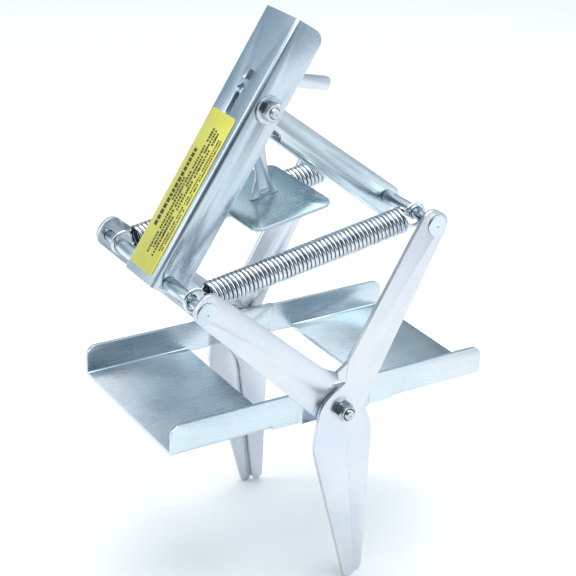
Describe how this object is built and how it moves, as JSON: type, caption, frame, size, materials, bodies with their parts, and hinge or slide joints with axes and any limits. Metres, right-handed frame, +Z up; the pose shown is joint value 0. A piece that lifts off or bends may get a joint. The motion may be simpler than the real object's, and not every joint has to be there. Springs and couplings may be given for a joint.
{
  "type": "scissor-jaw mole trap",
  "caption": "Foot-set scissor-jaw trap in sheet steel: two crossing pairs of blades on a footed frame, closed by coil springs, opened by a toggle lever over a trip pan.",
  "frame": {"origin": "on the ground, midway between the two foot pans and between the side rails", "axes": "+X along the frame towards the right foot pan, -Y towards the front of the trap, +Z up; jaws closed"},
  "size_m": [0.272, 0.1848, 0.4325],
  "materials": {
    "base_frame_steel": "bright zinc plating over sheet steel",
    "pivot_bolt_front_steel": "zinc-plated fastener",
    "pivot_bolt_rear_steel": "zinc-plated fastener",
    "pivot_nut_front_steel": "zinc-plated fastener",
    "pivot_nut_rear_steel": "zinc-plated fastener",
    "nut_insert_front_nylon": "moulded nylon",
    "nut_insert_rear_nylon": "moulded nylon",
    "spacer_washer_front_steel": "zinc-plated fastener",
    "spacer_washer_rear_steel": "zinc-plated fastener",
    "left_jaw_front_steel": "bright zinc plating over sheet steel",
    "left_jaw_rear_steel": "bright zinc plating over sheet steel",
    "left_rod_steel": "zinc-plated round steel",
    "left_sleeve_front_steel": "zinc-plated round steel",
    "left_sleeve_rear_steel": "zinc-plated round steel",
    "right_jaw_front_steel": "bright zinc plating over sheet steel",
    "right_jaw_rear_steel": "bright zinc plating over sheet steel",
    "right_rod_steel": "zinc-plated round steel",
    "right_sleeve_front_steel": "zinc-plated round steel",
    "right_sleeve_rear_steel": "zinc-plated round steel",
    "lever_steel": "bright zinc plating over sheet steel",
    "lever_label_vinyl": "printed vinyl, left without lettering",
    "toggle_bolt_steel": "zinc-plated fastener",
    "toggle_nut_steel": "zinc-plated fastener",
    "toggle_washer_front_steel": "zinc-plated fastener",
    "toggle_washer_rear_steel": "zinc-plated fastener",
    "trigger_spacer_front_steel": "zinc-plated round steel",
    "trigger_spacer_rear_steel": "zinc-plated round steel",
    "link_steel": "bright zinc plating over sheet steel",
    "trigger_plate_steel": "bright zinc plating over sheet steel",
    "trip_pan_steel": "bright zinc plating over sheet steel",
    "front_spring_left_steel": "zinc-plated spring wire",
    "rear_spring_left_steel": "zinc-plated spring wire",
    "front_spring_right_steel": "zinc-plated spring wire",
    "rear_spring_right_steel": "zinc-plated spring wire"
  },
  "bodies": {
    "frame": {"base_frame": "base_frame_steel", "pivot_bolt_front": "pivot_bolt_front_steel", "pivot_bolt_rear": "pivot_bolt_rear_steel", "pivot_nut_front": "pivot_nut_front_steel", "pivot_nut_rear": "pivot_nut_rear_steel", "nut_insert_front": "nut_insert_front_nylon", "nut_insert_rear": "nut_insert_rear_nylon", "spacer_washer_front": "spacer_washer_front_steel", "spacer_washer_rear": "spacer_washer_rear_steel"},
    "jaw_left": {"left_jaw_front": "left_jaw_front_steel", "left_jaw_rear": "left_jaw_rear_steel", "left_rod": "left_rod_steel", "left_sleeve_front": "left_sleeve_front_steel", "left_sleeve_rear": "left_sleeve_rear_steel"},
    "jaw_right": {"right_jaw_front": "right_jaw_front_steel", "right_jaw_rear": "right_jaw_rear_steel", "right_rod": "right_rod_steel", "right_sleeve_front": "right_sleeve_front_steel", "right_sleeve_rear": "right_sleeve_rear_steel"},
    "lever_arm": {"lever": "lever_steel", "lever_label": "lever_label_vinyl", "toggle_bolt": "toggle_bolt_steel", "toggle_nut": "toggle_nut_steel", "toggle_washer_front": "toggle_washer_front_steel", "toggle_washer_rear": "toggle_washer_rear_steel", "trigger_spacer_front": "trigger_spacer_front_steel", "trigger_spacer_rear": "trigger_spacer_rear_steel"},
    "link_arm": {"link": "link_steel"},
    "trigger": {"trigger_plate": "trigger_plate_steel", "trip_pan": "trip_pan_steel"},
    "spring_left": {"front_spring_left": "front_spring_left_steel", "rear_spring_left": "rear_spring_left_steel"},
    "spring_right": {"front_spring_right": "front_spring_right_steel", "rear_spring_right": "rear_spring_right_steel"}
  },
  "joints": [
    {"name": "jaw_opening", "type": "hinge", "parent": "frame", "child": "jaw_right", "pos_m": [0, 0, 0.009], "axis": [0, 1, 0], "range_deg": [0, 36.6], "stiffness_Nm_per_rad": 16.3, "springref_deg": -27.19},
    {"name": "left_jaw_swing", "type": "hinge", "parent": "frame", "child": "jaw_left", "pos_m": [0, 0, 0.009], "axis": [0, -1, 0], "range_deg": [-0.2, 17.6]},
    {"name": "lever_swing", "type": "hinge", "parent": "jaw_left", "child": "lever_arm", "pos_m": [-0.11335, 0, 0.11027], "axis": [0, -1, 0], "range_deg": [-66.86, 0.3]},
    {"name": "link_swing", "type": "hinge", "parent": "jaw_right", "child": "link_arm", "pos_m": [0.07374, 0, 0.14192], "axis": [0, -1, 0], "range_deg": [-0.3, 66.86]},
    {"name": "trigger_swing", "type": "hinge", "parent": "lever_arm", "child": "trigger", "pos_m": [-0.03691, 0, 0.2272], "axis": [0, -1, 0], "range_deg": [-0.3, 39.85]},
    {"name": "spring_swing", "type": "hinge", "parent": "jaw_left", "child": "spring_left", "pos_m": [-0.11335, 0, 0.11027], "axis": [0, -1, 0], "range_deg": [-27.2, 0.2], "deforming": ["front_spring_left", "rear_spring_left"]},
    {"name": "spring_stretch", "type": "slide", "parent": "spring_left", "child": "spring_right", "axis": [0.986, 0, 0.1668], "range_m": [-0.0005, 0.08765], "deforming": ["front_spring_right", "rear_spring_right"]}
  ],
  "couplings": [
    {"joint": "left_jaw_swing", "follows": "jaw_opening", "ratio": 0.47541},
    {"joint": "lever_swing", "follows": "jaw_opening", "ratio": -1.8184},
    {"joint": "link_swing", "follows": "jaw_opening", "ratio": 1.8184},
    {"joint": "trigger_swing", "follows": "jaw_opening", "ratio": 1.0807},
    {"joint": "spring_swing", "follows": "jaw_opening", "ratio": -0.7377},
    {"joint": "spring_stretch", "follows": "jaw_opening", "m_per_rad": 0.13643}
  ]
}
